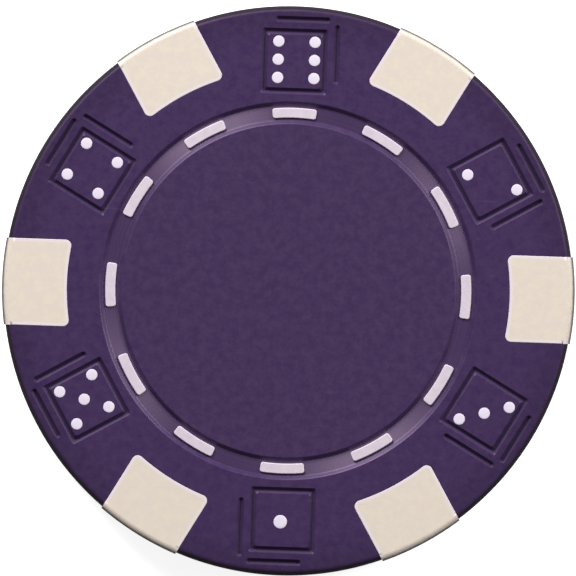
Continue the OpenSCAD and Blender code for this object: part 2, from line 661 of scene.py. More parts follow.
@dataclass
class DieArt:
    """One die drawn in grooves: its front square and two loose edges behind it.

    Local x runs clockwise round the chip and local y outwards, from the middle of the pips.

    Attributes:
        side: Side of the front square, groove middle to groove middle.
        corner: Corner radius of the front square.
        offset: Middle of the front square.
        depth: Gap from the front square to the loose edges.
        beside: Both ends of the edge beside the square, past its bottom and its top.
        beyond: Both ends of the edge beyond the square, past its left and its right.
        half_width: Half the width of a groove.
        groove_depth: Depth of a groove.
        ease: Rounding of a groove's bottom, as a share of its half width.
        land: Flat strip beside a groove.
    """

    side: float = 4.06
    corner: float = 0.16
    offset: tuple[float, float] = (-0.14, -0.11)
    depth: float = 0.84
    beside: tuple[float, float] = (0.77, 0.33)
    beyond: tuple[float, float] = (0.87, 0.16)
    half_width: float = 0.22
    groove_depth: float = 0.2
    ease: float = 0.16
    land: float = 0.012

    def square(self) -> Outline:
        """Return the middle of the front square's groove."""
        outline = square_outline(self.side / 2, self.corner, turns=6)
        return Outline(outline.points + self.offset, outline.normals)

    def lines(self) -> list[Outline]:
        """Return the two loose edges, as lines.

        Returns:
            The edge beside the square, then the edge beyond it.
        """
        x, y = self.offset
        half = self.side / 2
        reach = half + self.depth
        return [
            line_outline((x + reach, y - half + self.beside[0]), (x + reach, y + half + self.beside[1])),
            line_outline((x - half + self.beyond[0], y + reach), (x + half + self.beyond[1], y + reach)),
        ]

    def profile(self, full: bool) -> tuple[np.ndarray, np.ndarray]:
        """Return a groove's cross-section, a V with a rounded bottom.

        With u from 0 at its middle to 1 at its side and e the rounding, the depth goes with
        sqrt(1 + e^2) - sqrt(u^2 + e^2).

        Args:
            full: Whether it runs from side to side, or only from a side to the middle.

        Returns:
            The offsets, from the outer side inwards, and the depths.
        """
        u = np.array([1.0, 0.8, 0.6, 0.4, 0.25, 0.12, 0.0])
        if full:
            u = np.append(u, -u[-2::-1])
        offsets = u * self.half_width
        offsets = np.insert(offsets, 0, self.half_width + self.land)
        shape = math.hypot(1, self.ease) - np.hypot(u, self.ease)
        depths = np.insert(self.groove_depth * shape / shape.max(), 0, 0.0)
        if full:
            offsets = np.append(offsets, -self.half_width - self.land)
            depths = np.append(depths, 0.0)
        return offsets, depths


@dataclass
class RingChannel:
    """The shallow channel that the dashes lie in.

    Attributes:
        middle: Radius of its middle.
        half_width: Half its width at the chip's face.
        half_floor: Half the width of its flat floor.
        depth: Its depth.
    """

    middle: float
    half_width: float = 0.75
    half_floor: float = 0.49
    depth: float = 0.22

    def depth_at(self, radii: np.ndarray) -> np.ndarray:
        """Return the channel's depth at each radius, its corners eased by a short average."""
        away = np.abs(radii[..., None] + np.linspace(-0.04, 0.04, 9) - self.middle)
        return np.interp(away, (self.half_floor, self.half_width), (self.depth, 0.0)).mean(axis=-1)

    def reach(self) -> tuple[float, float]:
        """Return the radii just clear of the channel, inside and outside it."""
        clear = self.half_width + 0.07
        return self.middle - clear, self.middle + clear


@dataclass
class ChipBody:
    """The purple moulded body, with the room that every other piece sits in.

    Attributes:
        sizes: The chip's sizes.
        channel: The channel round the dashes.
        art: The groove drawing of a die.
        pips: Centre and radius of every pip, in plan.
        die_radius: Distance from the axis to the middle of a die's pips.
    """

    sizes: ChipSizes
    channel: RingChannel
    art: DieArt
    pips: list[tuple[np.ndarray, float]]
    die_radius: float

    def build(self) -> bpy.types.Object:
        """Make the body's mesh.

        Returns:
            The body, with the channel's floors marked for their own finish.
        """
        sizes = self.sizes
        face = Shell()
        outer_loops = self.add_dice(face)
        band_in, band_out = self.add_channel(face)
        holes = [band_out, *outer_loops]
        face.add_fill([self.face_edge(), *holes], sizes.thickness, True, 0.9)
        face.add_fill([band_in], sizes.thickness, True, 0.9)
        self.add_ceiling(face)
        body = Shell()
        body.add_mirrored(face, sizes.thickness)
        self.add_rim(body)
        self.add_notches(body)
        self.add_pip_holes(body)
        piece = body.build("purple_body")
        self.mark_channel_floor(piece.data)
        return piece

    def mark_channel_floor(self, mesh: bpy.types.Mesh) -> None:
        """Give the channel's floors, on both faces, the second material.

        They are the faces within the floor's width of the channel's middle radius, and no
        deeper than the channel.

        Args:
            mesh: The body's mesh.
        """
        centres = np.empty(3 * len(mesh.polygons))
        mesh.polygons.foreach_get("center", centres)
        centres = centres.reshape(-1, 3) / MM
        radii = np.hypot(centres[:, 0], centres[:, 1])
        half = self.sizes.thickness / 2
        shallow = np.abs(centres[:, 2] - half) > half - self.channel.depth - FACE_MARGIN
        floor = shallow & (np.abs(radii - self.channel.middle) < self.channel.half_floor)
        mesh.polygons.foreach_set("material_index", floor.astype(np.int32))

    def die_placement(self, index: int) -> float:
        """Return the turn that takes local y to a die's outward direction."""
        return self.sizes.insert_angle(index) + math.pi / self.sizes.inserts - math.pi / 2

    def add_dice(self, face: Shell) -> list[np.ndarray]:
        """Add every die's grooves and the flat inside its square.

        Args:
            face: Shell of the front face.

        Returns:
            The loops where the grooves meet the face around them.
        """
        top = self.sizes.thickness
        rims = []
        for index in range(self.sizes.inserts):
            turn = self.die_placement(index)
            shift = (0.0, self.die_radius)
            square = self.art.square().placed(turn, shift)
            offsets, depths = self.art.profile(full=True)
            recess = depths / self.art.groove_depth
            face.add_grid(sweep(square, offsets, top - depths), True, recess)
            rims.append(square.at(offsets[0]))
            middle = polar(self.die_radius, turn + math.pi / 2)
            near = [
                centre + circle_outline(radius, HOLE_STEPS).points
                for centre, radius in self.pips
                if np.linalg.norm(centre - middle) < self.art.side
            ]
            face.add_fill([square.at(offsets[-1]), *near], top, True, 0.5)
            offsets, depths = self.art.profile(full=False)
            recess = depths / self.art.groove_depth
            for line in self.art.lines():
                line = line.placed(turn, shift)
                face.add_grid(sweep(line, offsets, top - depths), True, recess)
                rims.append(line.at(offsets[0]))
        return rims

    def ring_angles(self, row: float) -> np.ndarray:
        """Return the angles of a full ring of points: along each dash, then along each gap.

        Args:
            row: Radius, on a dash's inner or outer edge.

        Returns:
            The angles, counter-clockwise from the start of the first dash.
        """
        sizes = self.sizes
        end = sizes.dash_end(np.array([row]))[0]
        pitch = 2 * math.pi / sizes.dashes
        cell = np.concatenate((
            np.linspace(-end, end, DASH_STEPS + 1)[:-1],
            np.linspace(end, pitch - end, GAP_STEPS + 1)[:-1],
        ))
        return (np.arange(sizes.dashes)[:, None] * pitch + cell[None, :]).ravel()

    def add_channel(self, face: Shell) -> tuple[np.ndarray, np.ndarray]:
        """Add the ring channel, with the pockets of the dashes cut through it.

        Inside and outside the dashes the channel is two full rings. Between two dashes it is a
        grid whose columns spread from one dash's end to the next dash's end at every radius.

        Args:
            face: Shell of the front face.

        Returns:
            The loops where the channel meets the middle of the face and the rest of the face.
        """
        sizes, channel = self.sizes, self.channel
        top = sizes.thickness
        clear_in, clear_out = channel.reach()
        inner_rows = np.linspace(clear_in, sizes.dash_inner, WALL_STEPS + 1)
        outer_rows = np.linspace(sizes.dash_outer, clear_out, WALL_STEPS + 1)
        for rows, edge_row in ((inner_rows, -1), (outer_rows, 0)):
            angles = self.ring_angles(rows[edge_row])
            depths = channel.depth_at(rows)
            plan = polar(rows[None, ::-1], angles[:, None])
            heights = np.broadcast_to(top - depths[::-1], plan.shape[:2])
            face.add_grid(np.dstack((plan, heights)), True)
        rows = sizes.dash_rows()
        depths = channel.depth_at(rows)
        end = sizes.dash_end(rows)
        pitch = 2 * math.pi / sizes.dashes
        along = np.linspace(0.0, 1.0, GAP_STEPS + 1)[:, None]
        spread = end + along * (pitch - 2 * end)
        for index in range(sizes.dashes):
            angle = sizes.dash_angle(index)
            plan = polar(rows[None, ::-1], spread[:, ::-1] + angle)
            heights = np.broadcast_to(top - depths[::-1], plan.shape[:2])
            face.add_grid(np.dstack((plan, heights)), False)
            self.add_pocket(face, angle)
        inner = polar(inner_rows[0], self.ring_angles(sizes.dash_inner))
        outer = polar(outer_rows[-1], self.ring_angles(sizes.dash_outer))
        return inner, outer

    def add_pocket(self, face: Shell, angle: float) -> None:
        """Add a dash pocket's wall, from the channel down to the steel disc.

        Args:
            face: Shell of the front face.
            angle: Direction of the dash.
        """
        plan = self.sizes.dash_points(angle)
        mouth = self.sizes.thickness - self.channel.depth_at(np.hypot(plan[:, 0], plan[:, 1]))
        floor = np.full(len(plan), self.sizes.thickness - self.sizes.skin)
        wall = np.stack((np.column_stack((plan, mouth)), np.column_stack((plan, floor))), axis=1)
        face.add_grid(wall, True)

    def add_ceiling(self, face: Shell) -> None:
        """Add half of the room for the steel disc: its ceiling, chamfer and upper wall.

        Args:
            face: Shell of the front face.
        """
        sizes = self.sizes
        pockets = [sizes.dash_points(sizes.dash_angle(index)) for index in range(sizes.dashes)]
        ceiling = sizes.thickness - sizes.skin
        flat_r = sizes.slug_r - sizes.slug_chamfer
        edge = circle_outline(flat_r, 144)
        face.add_fill([edge.points, *pockets], ceiling, False, 1.5)
        offsets = np.array([0.0, sizes.slug_chamfer, sizes.slug_chamfer])
        heights = np.array([ceiling, ceiling - sizes.slug_chamfer, sizes.thickness / 2])
        face.add_grid(sweep(edge, offsets, heights), True)

    def rim_turn(self, radii: np.ndarray) -> np.ndarray:
        """Return how far round from an edge insert's middle its side crosses each radius."""
        return np.arcsin(self.sizes.insert_half / radii)

    def face_edge(self) -> np.ndarray:
        """Return the loop round the face: rim arcs, and the notches of the edge inserts.

        Returns:
            The loop's plan points, counter-clockwise.
        """
        sizes = self.sizes
        radii, _ = sizes.rim_rows(sizes.body_r)
        pitch = 2 * math.pi / sizes.inserts
        start = self.rim_turn(radii[:1])[0]
        arc = np.linspace(start, pitch - start, RIM_STEPS + 1)[1:-1]
        sides, normals = sizes.insert_sides(radii)
        flat = np.hypot(sides[:, 0], sides[:, 1]) <= radii[0] + WELD
        notch = Outline(sides[flat][::-1], normals[flat][::-1])
        return np.vstack([
            block
            for index in range(sizes.inserts)
            for block in (
                notch.placed(sizes.insert_angle(index)).points,
                polar(radii[0], arc + sizes.insert_angle(index)),
            )
        ])

    def add_rim(self, body: Shell) -> None:
        """Add the rounded rim between every two edge inserts, over the full thickness.

        A row is a circle of the rim's profile. Its columns spread from one notch to the next.

        Args:
            body: The body's shell.
        """
        sizes = self.sizes
        radii, heights = sizes.rim_rows(sizes.body_r)
        radii = np.concatenate((radii, radii[::-1]))
        heights = np.concatenate((heights, sizes.thickness - heights[::-1]))
        start = self.rim_turn(radii)
        pitch = 2 * math.pi / sizes.inserts
        along = np.linspace(0.0, 1.0, RIM_STEPS + 1)[:, None]
        spread = start + along * (pitch - 2 * start)
        wear = np.clip(1 - np.abs(radii - sizes.body_r + 0.1) / 0.25, 0, 1)
        for index in range(sizes.inserts):
            plan = polar(radii, spread + sizes.insert_angle(index))
            grid = np.dstack((plan, np.broadcast_to(heights, plan.shape[:2])))
            body.add_grid(grid[:, ::-1], False, 0.0, wear[::-1])

    def add_notches(self, body: Shell) -> None:
        """Add the walls that the edge inserts stand against, cut off by the rounded rim.

        Args:
            body: The body's shell.
        """
        sizes = self.sizes
        radii, rim_heights = sizes.rim_rows(sizes.body_r)
        points, normals = sizes.insert_sides(radii)
        out = np.hypot(points[:, 0], points[:, 1])
        top = np.interp(out, radii, rim_heights)
        for index in range(sizes.inserts):
            plan = Outline(points, normals).placed(sizes.insert_angle(index)).points
            upper = np.column_stack((plan, top))
            lower = np.column_stack((plan, sizes.thickness - top))
            body.add_grid(np.stack((upper, lower), axis=1), False)

    def add_pip_holes(self, body: Shell) -> None:
        """Add the wall round every pip, from face to face.

        Args:
            body: The body's shell.
        """
        heights = np.array([self.sizes.thickness, 0.0])
        for centre, radius in self.pips:
            hole = circle_outline(radius, HOLE_STEPS)
            hole = Outline(hole.points + centre, hole.normals)
            body.add_grid(sweep(hole, np.zeros(2), heights), True)


# ---------------------------------------------------------------- the pale pieces


def rounded_edge(size: float, turns: int) -> tuple[np.ndarray, np.ndarray]:
    """Return an upper edge rounded by a quarter turn.

    Args:
        size: Radius of the rounding, q.
        turns: Steps in the quarter turn.

    Returns:
        The offsets, q (cos a - 1), and the heights below the top, q (1 - sin a), going inwards.
    """
    angle = np.linspace(0.0, math.pi / 2, turns + 1)
    return size * (np.cos(angle) - 1), size * (1 - np.sin(angle))


@dataclass
class EdgeInsert:
    """A cream insert that goes through the chip and wraps its rim.

    Attributes:
        sizes: The chip's sizes.
        number: Which insert, from 1.
        gap: Clearance to the notch.
        soft: Rounding of its edges, away from the rim.
        border: Width of the paler border along its sides.
        fade: Length over which the sides' profile shrinks to nothing before the rim.
    """

    sizes: ChipSizes
    number: int
    gap: float = 0.006
    soft: float = 0.045
    border: float = 0.2
    fade: float = 0.12

    def build(self) -> bpy.types.Object:
        """Make the insert's mesh.

        Its sides are a profile carried round the notch's outline. The profile shrinks to
        nothing where the outline runs out over the rounded rim.

        Returns:
            The insert.
        """
        sizes = self.sizes
        radii, rim_heights = sizes.rim_rows(sizes.insert_r)
        fitted = replace(
            sizes,
            insert_half=sizes.insert_half - self.gap,
            insert_inner=sizes.insert_inner + self.gap,
        )
        radii = np.insert(radii, 0, radii[0] - self.fade)
        rim_heights = np.insert(rim_heights, 0, sizes.thickness)
        points, normals = fitted.insert_sides(radii)
        placed = Outline(points, normals).placed(sizes.insert_angle(self.number - 1))
        out = np.hypot(points[:, 0], points[:, 1])
        top = np.interp(out, radii, rim_heights)[:, None]
        scale = np.interp(out, radii[:2], (1.0, 0.0))[:, None]
        inwards, below = rounded_edge(self.soft, 4)
        inwards = np.append(inwards, [-self.soft - FACE_MARGIN, -self.border, -self.border - FACE_MARGIN])
        below = np.append(below, np.zeros(3))
        plan = placed.points[:, None] + (scale * inwards)[..., None] * placed.normals[:, None]
        upper = np.dstack((plan, top - scale * below))
        lower = (upper * (1, 1, -1) + (0, 0, sizes.thickness))[:, ::-1]
        tint = (inwards >= -self.border).astype(float)
        shell = Shell()
        shell.add_grid(np.concatenate((lower, upper), axis=1), False, 0.0, np.append(tint[::-1], tint))
        flat = out <= radii[1] + WELD
        loop = upper[flat, -1, :2]
        self.add_rim(shell, fitted, radii, rim_heights, loop)
        return shell.build(f"cream_insert_{self.number}")

    def add_rim(self, shell: Shell, fitted: ChipSizes, radii: np.ndarray, rim_heights: np.ndarray,
                loop: np.ndarray) -> None:
        """Add the insert's rounded outer end and its two faces.

        The end is a grid of straight columns: x = sqrt(r^2 - y^2) at even steps of y.

        Args:
            shell: The insert's shell.
            fitted: Sizes with the insert's clearance taken off.
            radii: Circles of the rim's profile.
            rim_heights: Their heights.
            loop: Plan points of the face's edge, without its outer end.
        """
        radii, rim_heights = radii[1:], rim_heights[1:]
        radii = np.concatenate((radii, radii[::-1]))
        heights = np.concatenate((rim_heights, self.sizes.thickness - rim_heights[::-1]))
        across = np.linspace(-fitted.insert_half, fitted.insert_half, 19)[:, None]
        x = np.sqrt(radii ** 2 - across ** 2)
        plan = np.dstack((x, np.broadcast_to(across, x.shape)))
        turned = plan @ rotation(self.sizes.insert_angle(self.number - 1))
        grid = np.dstack((turned, np.broadcast_to(heights, x.shape)))
        shell.add_grid(grid[:, ::-1], False)
        edge = np.vstack((loop, turned[1:-1, 0]))
        shell.add_fill([edge], self.sizes.thickness, True, 0.7)
        shell.add_fill([edge], 0.0, False, 0.7)


@dataclass
class RingDash:
    """A pale bar in the ring channel, standing on the steel disc.

    Attributes:
        sizes: The chip's sizes.
        side: Which face it is on.
        number: Which dash, from 1.
        gap: Clearance to its pocket.
        soft: Rounding of its upper edge.
    """

    sizes: ChipSizes
    side: Side
    number: int
    gap: float = 0.004
    soft: float = 0.06

    def build(self) -> bpy.types.Object:
        """Make the dash's mesh: its outline carried up the wall and over the edge.

        Returns:
            The dash.
        """
        sizes = self.sizes
        outline = outline_through(sizes.dash_points()).placed(sizes.dash_angle(self.number - 1))
        top = sizes.thickness - sizes.dash_low
        bottom = sizes.thickness - sizes.skin
        inwards, below = rounded_edge(self.soft, 5)
        offsets = np.concatenate(([0.0], inwards, [-self.soft - FACE_MARGIN / 2])) - self.gap
        heights = np.concatenate(([bottom], top - below, [top]))
        edge = np.concatenate(([0.0], np.ones(len(inwards)), [0.3]))
        shell = Shell()
        shell.add_grid(sweep(outline, offsets, heights), True, 0.0, edge)
        shell.add_fill([outline.at(offsets[-1])], top, True, 0.3)
        shell.add_fill([outline.at(offsets[0])], bottom, False, 0.6)
        if self.side is Side.BACK:
            shell = shell.mirrored(sizes.thickness)
        return shell.build(f"{self.side.value}_bar_{self.number}")


@dataclass
class Pip:
    """A pale round post that shows on both faces.

    Attributes:
        name: Name of its CAD node.
        centre: Middle in plan.
        radius: Radius of its hole.
        thickness: Its length.
        gap: Clearance to its hole.
        soft: Rounding of its ends.
        crown: How far its end falls from the middle to the rounding.
    """

    name: str
    centre: np.ndarray
    radius: float
    thickness: float
    gap: float = 0.004
    soft: float = 0.05
    crown: float = 0.012

    @classmethod
    def from_node(cls, name: str) -> "Pip":
        """Return the pip that a CAD node stands for."""
        low, high = node_span(name)
        return cls(name, (low[:2] + high[:2]) / 2, (high[1] - low[1]) / 2, high[2] - low[2])

    def build(self) -> bpy.types.Object:
        """Make the pip's mesh: one profile from pole to pole, turned about the pip's axis.

        Returns:
            The pip.
        """
        radius = self.radius - self.gap
        inwards, below = rounded_edge(self.soft, 4)
        flat = np.linspace(radius - self.soft, 0.0, 6)[1:]
        fall = self.crown * (flat / radius) ** 2
        radii = np.concatenate((radius + inwards, flat))
        below = np.concatenate((below + self.crown, fall))
        radii = np.concatenate((radii[::-1], radii))
        heights = np.concatenate((below[::-1], self.thickness - below))
        edge = np.clip(1 - (radius - radii) / 0.08, 0, 1)
        shell = Shell()
        grid = revolve(radii, heights, 40)
        grid[..., :2] += self.centre
        shell.add_grid(grid, True, 0.0, edge)
        return shell.build(self.name.replace("die_", "dot_").replace("_pip_", "_"))


# ---------------------------------------------------------------- finishes


Socket = bpy.types.NodeSocket


@dataclass
class Tree:
    """A node tree with short ways to add and join nodes.

    Attributes:
        tree: The tree of a material or a group.
    """

    tree: bpy.types.NodeTree

    def node(self, kind: str, **settings: object) -> bpy.types.Node:
        """Add a node and set its properties.

        Args:
            kind: The node's type.
            settings: Its properties, by name.

        Returns:
            The node.
        """
        made = self.tree.nodes.new(kind)
        for name, value in settings.items():
            setattr(made, name, value)
        return made

    def feed(self, socket: Socket, value: object) -> None:
        """Join a socket to another one, or set its value.

        Args:
            socket: The input.
            value: An output to join it to, or a plain value.
        """
        if isinstance(value, bpy.types.NodeSocket):
            self.tree.links.new(value, socket)
        else:
            socket.default_value = value

    def math(self, operation: str, *values: object, clamp: bool = False) -> Socket:
        """Add a maths node.

        Args:
            operation: What it does.
            values: A socket or a number for each input.
            clamp: Whether the result is kept from 0 to 1.

        Returns:
            The result.
        """
        made = self.node("ShaderNodeMath", operation=operation, use_clamp=clamp)
        for socket, value in zip(made.inputs, values):
            self.feed(socket, value)
        return made.outputs[0]

    def axis_distance(self, place: Socket) -> Socket:
        """Measure how far a place is from the chip's axis: the length of (x, y, 0).

        Args:
            place: Coordinates, in metres.

        Returns:
            The distance.
        """
        plan = self.node("ShaderNodeVectorMath", operation="MULTIPLY")
        self.feed(plan.inputs[0], place)
        self.feed(plan.inputs[1], (1.0, 1.0, 0.0))
        length = self.node("ShaderNodeVectorMath", operation="LENGTH")
        self.feed(length.inputs[0], plan.outputs["Vector"])
        return length.outputs["Value"]

    def stretched(self, place: Socket, scale: tuple[float, float, float], turn: float = 0.0) -> Socket:
        """Turn coordinates about Z and scale them, to draw a noise out into streaks.

        Args:
            place: Coordinates.
            scale: Scale along each axis.
            turn: Turn in radians.

        Returns:
            The new coordinates.
        """
        mapping = self.node("ShaderNodeMapping")
        self.feed(mapping.inputs["Vector"], place)
        mapping.inputs["Rotation"].default_value = (0.0, 0.0, turn)
        mapping.inputs["Scale"].default_value = scale
        return mapping.outputs[0]

    def span(self, value: object, low: object, high: object) -> Socket:
        """Map a value smoothly to 0 at the low end and 1 at the high end, and hold it beyond.

        Args:
            value: The value.
            low: The low end.
            high: The high end. It may be the smaller of the two.

        Returns:
            The result.
        """
        made = self.node("ShaderNodeMapRange", interpolation_type="SMOOTHSTEP")
        for socket, given in zip(made.inputs, (value, low, high, 0.0, 1.0)):
            self.feed(socket, given)
        return made.outputs[0]

    def blend(self, factor: object, a: object, b: object) -> Socket:
        """Mix two colours.

        Args:
            factor: 0 for the first, 1 for the second.
            a: The first colour.
            b: The second colour.

        Returns:
            The mixed colour.
        """
        made = self.node("ShaderNodeMix", data_type="RGBA")
        self.feed(made.inputs[0], factor)
        self.feed(made.inputs[6], a)
        self.feed(made.inputs[7], b)
        return made.outputs[2]

    def noise(self, vector: Socket, scale: float, detail: float = 2.0, roughness: float = 0.5) -> Socket:
        """Add a noise texture.

        Args:
            vector: Coordinates.
            scale: Lumps per metre.
            detail: How many finer layers it has.
            roughness: How strong the finer layers are.

        Returns:
            Its value, from 0 to 1.
        """
        made = self.node("ShaderNodeTexNoise")
        self.feed(made.inputs["Vector"], vector)
        made.inputs["Scale"].default_value = scale
        made.inputs["Detail"].default_value = detail
        made.inputs["Roughness"].default_value = roughness
        return made.outputs[0]

    def attribute(self, name: str) -> Socket:
        """Return a named value of the mesh."""
        return self.node("ShaderNodeAttribute", attribute_name=name).outputs["Fac"]


def colour(red: int, green: int, blue: int) -> Colour:
    """Return a display colour as a linear one.

    Args:
        red: Red, 0 to 255.
        green: Green, 0 to 255.
        blue: Blue, 0 to 255.

    Returns:
        The linear colour, opaque.
    """
    def linear(value: int) -> float:
        """Return one linear part, by the sRGB curve."""
        share = value / 255
        return share / 12.92 if share <= 0.04045 else ((share + 0.055) / 1.055) ** 2.4

    return linear(red), linear(green), linear(blue), 1.0


def new_group(name: str, inputs: dict[str, float], outputs: tuple[str, ...]) -> tuple[Tree, object, object]:
    """Start a shader node group with a vector input and number inputs.

    Args:
        name: The group's name.
        inputs: Number inputs and their usual values.
        outputs: Outputs. All are numbers but for one called Normal.

    Returns:
        The tree, the group's input node and its output node.
    """
    group = bpy.data.node_groups.new(name, "ShaderNodeTree")
    group.interface.new_socket("Vector", in_out="INPUT", socket_type="NodeSocketVector")
    for label, value in inputs.items():
        made = group.interface.new_socket(label, in_out="INPUT", socket_type="NodeSocketFloat")
        made.default_value = value
    for label in outputs:
        kind = "NodeSocketVector" if label == "Normal" else "NodeSocketFloat"
        group.interface.new_socket(label, in_out="OUTPUT", socket_type=kind)
    tree = Tree(group)
    return tree, tree.node("NodeGroupInput"), tree.node("NodeGroupOutput")


def moulded_grain_group() -> bpy.types.NodeTree:
    """Make the spark-eroded grain of a mould face: fine pits over a soft waviness.

    Returns:
        The group. It puts out a height about 0.5 and a blotchiness from 0 to 1.
    """
    tree, given, out = new_group("Moulded grain", {"Pits": 1.0, "Waviness": 1.0}, ("Height", "Blotch"))
    vector = given.outputs["Vector"]
    pits = tree.noise(vector, 8000.0, 3.0, 0.65)
    waves = tree.noise(vector, 900.0, 2.0, 0.5)
    fine = tree.math("MULTIPLY", tree.math("SUBTRACT", pits, 0.5), given.outputs["Pits"])
    broad = tree.math("MULTIPLY", tree.math("SUBTRACT", waves, 0.5), given.outputs["Waviness"])
    tree.feed(out.inputs["Height"], tree.math("ADD", tree.math("ADD", fine, broad), 0.5))
    blotch = tree.noise(vector, 1500.0, 5.0, 0.75)
    tree.feed(out.inputs["Blotch"], tree.span(blotch, 0.3, 0.7))
    return tree.tree


def handling_group() -> bpy.types.NodeTree:
    """Make the marks of handling: short fine scratches in two directions, and rubbed specks.

    A scratch is a thin slice of stretched noise.

    Returns:
        The group. It puts out two masks from 0 to 1.
    """
    tree, given, out = new_group("Handling", {"Amount": 1.0}, ("Scratches", "Specks"))
    vector = given.outputs["Vector"]
    found = [
        tree.span(tree.noise(tree.stretched(vector, scale, turn), 1.0, 1.0, 0.4), 0.735, 0.78)
        for turn, scale in ((0.5, (260.0, 5200.0, 260.0)), (2.1, (300.0, 4300.0, 300.0)))
    ]
    patches = tree.span(tree.noise(vector, 260.0, 2.0), 0.5, 0.66)
    lines = tree.math("MULTIPLY", tree.math("MAXIMUM", *found), patches)
    tree.feed(out.inputs["Scratches"], tree.math("MULTIPLY", lines, given.outputs["Amount"], clamp=True))
    specks = tree.span(tree.noise(vector, 5200.0, 2.0, 0.7), 0.72, 0.8)
    rubbed = tree.math("MULTIPLY", specks, tree.span(tree.noise(vector, 330.0, 3.0), 0.52, 0.7))
    tree.feed(out.inputs["Specks"], tree.math("MULTIPLY", rubbed, given.outputs["Amount"], clamp=True))
    return tree.tree


def edge_wear_group() -> bpy.types.NodeTree:
    """Make the wear of edges: the mesh's edge value, broken up by noise.

    Returns:
        The group. It puts out a mask from 0 to 1.
    """
    tree, given, out = new_group("Edge wear", {"Edge": 0.0, "Amount": 0.5}, ("Wear",))
    broken = tree.noise(given.outputs["Vector"], 1400.0, 5.0, 0.7)
    reach = tree.math("MULTIPLY", given.outputs["Edge"], given.outputs["Amount"])
    tree.feed(out.inputs["Wear"], tree.span(tree.math("ADD", reach, broken), 0.95, 1.2))
    return tree.tree


def turned_lines_group() -> bpy.types.NodeTree:
    """Make the lathe lines of a mould: noise of the radius alone.

    Returns:
        The group. It puts out a height about 0.5.
    """
    tree, given, out = new_group("Turned lines", {"Lines per metre": 5000.0}, ("Height",))
    radius = tree.axis_distance(given.outputs["Vector"])
    lines = tree.node("ShaderNodeTexNoise", noise_dimensions="1D")
    tree.feed(lines.inputs["W"], tree.math("MULTIPLY", radius, given.outputs["Lines per metre"]))
    tree.feed(out.inputs["Height"], lines.outputs[0])
    return tree.tree


def rim_mask_group() -> bpy.types.NodeTree:
    """Make a mask rising towards a rim, for the painted shade line round the rim and a darker band inside
    it: from 0 at radius Start to 1 at radius End, a little uneven.

    Returns:
        The group. It puts out a mask from 0 to 1.
    """
    tree, given, out = new_group("Rim mask", {"Start": 0.0191, "End": 0.0193}, ("Grime",))
    vector = given.outputs["Vector"]
    uneven = tree.math("MULTIPLY_ADD", tree.noise(vector, 1800.0, 3.0), 0.00006, -0.00003)
    radius = tree.math("ADD", tree.axis_distance(vector), uneven)
    tree.feed(out.inputs["Grime"], tree.span(radius, given.outputs["Start"], given.outputs["End"]))
    return tree.tree


@dataclass(frozen=True)
class Effects:
    """The node groups that the finishes use.

    Attributes:
        grain: Grain of a mould face.
        handling: Scratches and specks.
        wear: Rubbed edges.
        lines: Lathe lines.
        grime: Mask towards a rim, for the painted shade line round it and the darker band inside it.
    """

    grain: bpy.types.NodeTree
    handling: bpy.types.NodeTree
    wear: bpy.types.NodeTree
    lines: bpy.types.NodeTree
    grime: bpy.types.NodeTree

    @classmethod
    def make(cls) -> "Effects":
        """Make the groups.

        Returns:
            The groups, each built once.
        """
        return cls(
            grain=moulded_grain_group(),
            handling=handling_group(),
            wear=edge_wear_group(),
            lines=turned_lines_group(),
            grime=rim_mask_group(),
        )


def new_material(name: str) -> tuple[bpy.types.Material, Tree, bpy.types.Node, Socket]:
    """Start a material with one Principled shader and Object coordinates.

    Args:
        name: The material's name.

    Returns:
        The material, its tree, the shader and the coordinates.
    """
    material = bpy.data.materials.new(name)
    material.use_nodes = True
    tree = Tree(material.node_tree)
    shader = material.node_tree.nodes["Principled BSDF"]
    place = tree.node("ShaderNodeTexCoord").outputs["Object"]
    return material, tree, shader, place


def use_group(
    tree: Tree, group: bpy.types.NodeTree, place: Socket, values: dict[str, object]
) -> bpy.types.Node:
    """Place a node group in a material.

    Args:
        tree: The material's tree.
        group: The group.
        place: Coordinates for its Vector input.
        values: A value or a socket for each other input.

    Returns:
        The group's node.
    """
    made = tree.node("ShaderNodeGroup", node_tree=group)
    tree.feed(made.inputs["Vector"], place)
    for label, value in values.items():
        tree.feed(made.inputs[label], value)
    return made


def bump(tree: Tree, height: Socket, strength: float, distance: float) -> Socket:
    """Bend the normal by a height.

    Args:
        tree: The material's tree.
        height: The height, from 0 to 1.
        strength: How much of the bend is used.
        distance: What a height of 1 stands for, in metres.

    Returns:
        The normal.
    """
    made = tree.node("ShaderNodeBump")
    made.inputs["Strength"].default_value = strength
    made.inputs["Distance"].default_value = distance
    tree.feed(made.inputs["Height"], height)
    return made.outputs["Normal"]


def rim_mask(
    tree: Tree, effects: Effects, place: Socket, rim_r: float, band: tuple[float, float]
) -> Socket:
    """Place the rim mask group, a mask rising towards a rim: for painted shade round it, and for a darker
    band inside it.

    Args:
        tree: The material's tree.
        effects: The shared node groups.
        place: Coordinates.
        rim_r: Radius of the rim, in metres.
        band: How far inside it the mask starts and is full, in metres.

    Returns:
        The mask.
    """
    start, full = band
    made = use_group(tree, effects.grime, place, {"Start": rim_r - start, "End": rim_r - full})
    return made.outputs["Grime"]


def stain(tree: Tree, shade: Socket, mask: Socket, amount: float, tone: Colour) -> Socket:
    """Lay one more colour over a shade.

    Args:
        tree: The material's tree.
        shade: The colour so far.
        mask: Where the new one shows, from 0 to 1.
        amount: How strongly it shows where the mask is 1.
        tone: The new colour.

    Returns:
        The new shade.
    """
    return tree.blend(tree.math("MULTIPLY", mask, amount), shade, tone)


